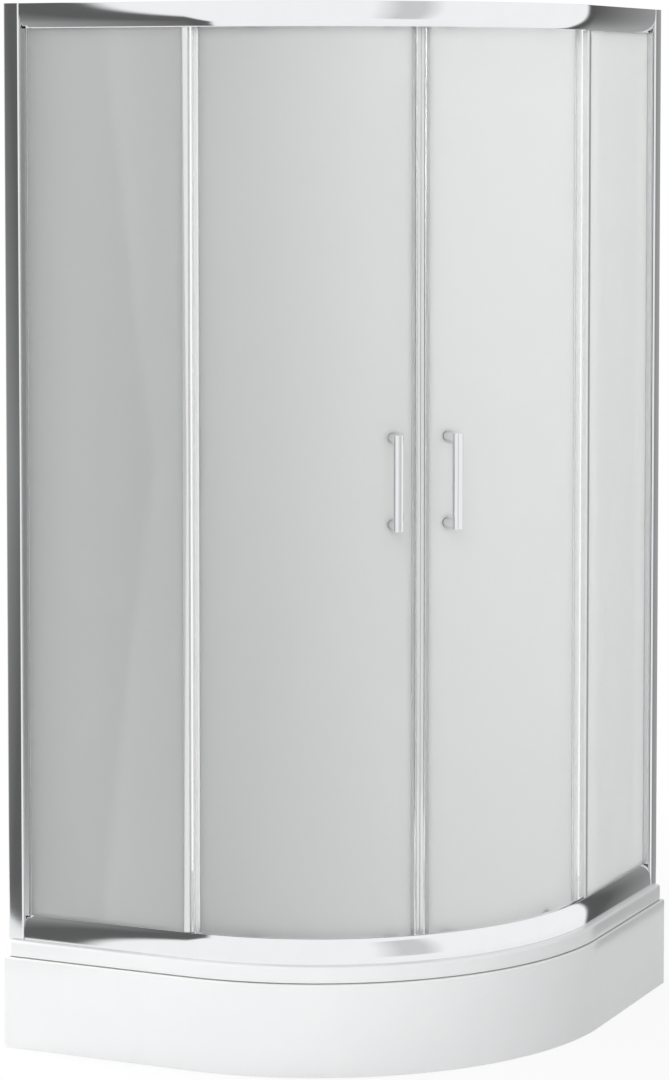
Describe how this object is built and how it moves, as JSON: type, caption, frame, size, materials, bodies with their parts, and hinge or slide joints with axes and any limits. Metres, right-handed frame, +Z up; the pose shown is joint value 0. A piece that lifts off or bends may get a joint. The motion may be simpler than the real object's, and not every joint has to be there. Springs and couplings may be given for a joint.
{
  "type": "quadrant shower enclosure",
  "caption": "Quadrant corner shower enclosure: curved sliding doors of satin glass in bright rails between flat fixed panels, on a deep white tray with a curved apron.",
  "frame": {"origin": "centre of the outer box on the floor: the room corner is at -X +Y", "axes": "+Z up from the floor; -Y faces the left fixed panel side, +X the right fixed panel side; the doors face the direction between -Y and +X"},
  "size_m": [0.9, 0.9, 1.82],
  "materials": {
    "tray_acrylic": "gloss white",
    "board": "raw chipboard",
    "zinc_steel": "zinc plated",
    "black_plastic": "moulded",
    "drain_plastic": "moulded white",
    "rubber": "soft black",
    "chrome": "bright polished",
    "steel": "stainless",
    "satin_glass": "satin, frosted right through the view",
    "clear_seal": "clear soft plastic",
    "magnet": "magnetic strip",
    "wheel_nylon": "white nylon"
  },
  "bodies": {
    "enclosure": {"apron": "tray_acrylic", "apron_clips": "zinc_steel", "base_board": "board", "bottom_rail": "chrome", "door_stops": "rubber", "fixed_edge_seal_left": "clear_seal", "fixed_edge_seal_right": "clear_seal", "fixed_glass_left": "satin_glass", "fixed_glass_right": "satin_glass", "foot_nuts": "zinc_steel", "foot_pads": "black_plastic", "foot_studs": "zinc_steel", "glazing_seal_left": "clear_seal", "glazing_seal_right": "clear_seal", "jamb_profile_left": "chrome", "jamb_profile_right": "chrome", "jamb_screw_caps": "chrome", "jamb_screws": "steel", "leg_bars": "zinc_steel", "rail_connectors": "black_plastic", "rail_screws": "steel", "top_rail": "chrome", "tray_shell": "tray_acrylic", "wall_profile_left": "chrome", "wall_profile_right": "chrome", "waste_body": "drain_plastic", "waste_flange": "chrome", "waste_gasket": "rubber", "waste_outlet": "drain_plastic", "waste_outlet_nut": "drain_plastic"},
    "door_left": {"door_glass_left": "satin_glass", "magnetic_seal_left": "clear_seal", "magnet_strip_left": "magnet", "rear_seal_left": "clear_seal", "handle_left": "chrome", "handle_gaskets_left": "rubber", "handle_screws_left": "chrome", "roller_brackets_left": "steel", "roller_bolts_left": "chrome"},
    "door_right": {"door_glass_right": "satin_glass", "magnetic_seal_right": "clear_seal", "magnet_strip_right": "magnet", "rear_seal_right": "clear_seal", "handle_right": "chrome", "handle_gaskets_right": "rubber", "handle_screws_right": "chrome", "roller_brackets_right": "steel", "roller_bolts_right": "chrome"},
    "waste_lift_out": {"waste_cover": "chrome", "waste_cup": "drain_plastic"},
    "roller_top_front_left": {"top_front_wheel_left": "wheel_nylon"},
    "roller_top_rear_left": {"top_rear_wheel_left": "wheel_nylon"},
    "roller_bottom_front_left": {"bottom_front_wheel_left": "wheel_nylon"},
    "roller_bottom_rear_left": {"bottom_rear_wheel_left": "wheel_nylon"},
    "roller_top_front_right": {"top_front_wheel_right": "wheel_nylon"},
    "roller_top_rear_right": {"top_rear_wheel_right": "wheel_nylon"},
    "roller_bottom_front_right": {"bottom_front_wheel_right": "wheel_nylon"},
    "roller_bottom_rear_right": {"bottom_rear_wheel_right": "wheel_nylon"}
  },
  "joints": [
    {"name": "door_left_travel", "type": "hinge", "parent": "enclosure", "child": "door_left", "pos_m": [-0.1344, 0.16976, 1.005], "axis": [0, 0, -1], "range_deg": [0, 22.1]},
    {"name": "door_right_travel", "type": "hinge", "parent": "enclosure", "child": "door_right", "pos_m": [-0.16976, 0.1344, 1.005], "axis": [0, 0, 1], "range_deg": [0, 22.1]},
    {"name": "roller_top_front_left_spin", "type": "hinge", "parent": "door_left", "child": "roller_top_front_left", "pos_m": [0.21702, -0.29149, 1.8073], "axis": [0.6293, -0.7771, 0], "continuous": true},
    {"name": "roller_top_rear_left_spin", "type": "hinge", "parent": "door_left", "child": "roller_top_rear_left", "pos_m": [0.00474, -0.39274, 1.8073], "axis": [0.2079, -0.9781, 0], "continuous": true},
    {"name": "roller_bottom_front_left_spin", "type": "hinge", "parent": "door_left", "child": "roller_bottom_front_left", "pos_m": [0.21702, -0.29149, 0.2027], "axis": [0.6293, -0.7771, 0], "continuous": true},
    {"name": "roller_bottom_rear_left_spin", "type": "hinge", "parent": "door_left", "child": "roller_bottom_rear_left", "pos_m": [0.00474, -0.39274, 0.2027], "axis": [0.2079, -0.9781, 0], "continuous": true},
    {"name": "roller_top_front_right_spin", "type": "hinge", "parent": "door_right", "child": "roller_top_front_right", "pos_m": [0.29149, -0.21702, 1.8073], "axis": [0.7771, -0.6293, 0], "continuous": true},
    {"name": "roller_top_rear_right_spin", "type": "hinge", "parent": "door_right", "child": "roller_top_rear_right", "pos_m": [0.39274, -0.00474, 1.8073], "axis": [0.9781, -0.2079, 0], "continuous": true},
    {"name": "roller_bottom_front_right_spin", "type": "hinge", "parent": "door_right", "child": "roller_bottom_front_right", "pos_m": [0.29149, -0.21702, 0.2027], "axis": [0.7771, -0.6293, 0], "continuous": true},
    {"name": "roller_bottom_rear_right_spin", "type": "hinge", "parent": "door_right", "child": "roller_bottom_rear_right", "pos_m": [0.39274, -0.00474, 0.2027], "axis": [0.9781, -0.2079, 0], "continuous": true},
    {"name": "waste_lift", "type": "slide", "parent": "enclosure", "child": "waste_lift_out", "axis": [0, 0, 1], "range_m": [0, 0.08]}
  ],
  "couplings": [
    {"joint": "roller_top_front_left_spin", "follows": "door_left_travel", "ratio": 72.483},
    {"joint": "roller_top_rear_left_spin", "follows": "door_left_travel", "ratio": 72.431},
    {"joint": "roller_bottom_front_left_spin", "follows": "door_left_travel", "ratio": -72.483},
    {"joint": "roller_bottom_rear_left_spin", "follows": "door_left_travel", "ratio": -72.431},
    {"joint": "roller_top_front_right_spin", "follows": "door_right_travel", "ratio": -72.483},
    {"joint": "roller_top_rear_right_spin", "follows": "door_right_travel", "ratio": -72.431},
    {"joint": "roller_bottom_front_right_spin", "follows": "door_right_travel", "ratio": 72.483},
    {"joint": "roller_bottom_rear_right_spin", "follows": "door_right_travel", "ratio": 72.431}
  ]
}
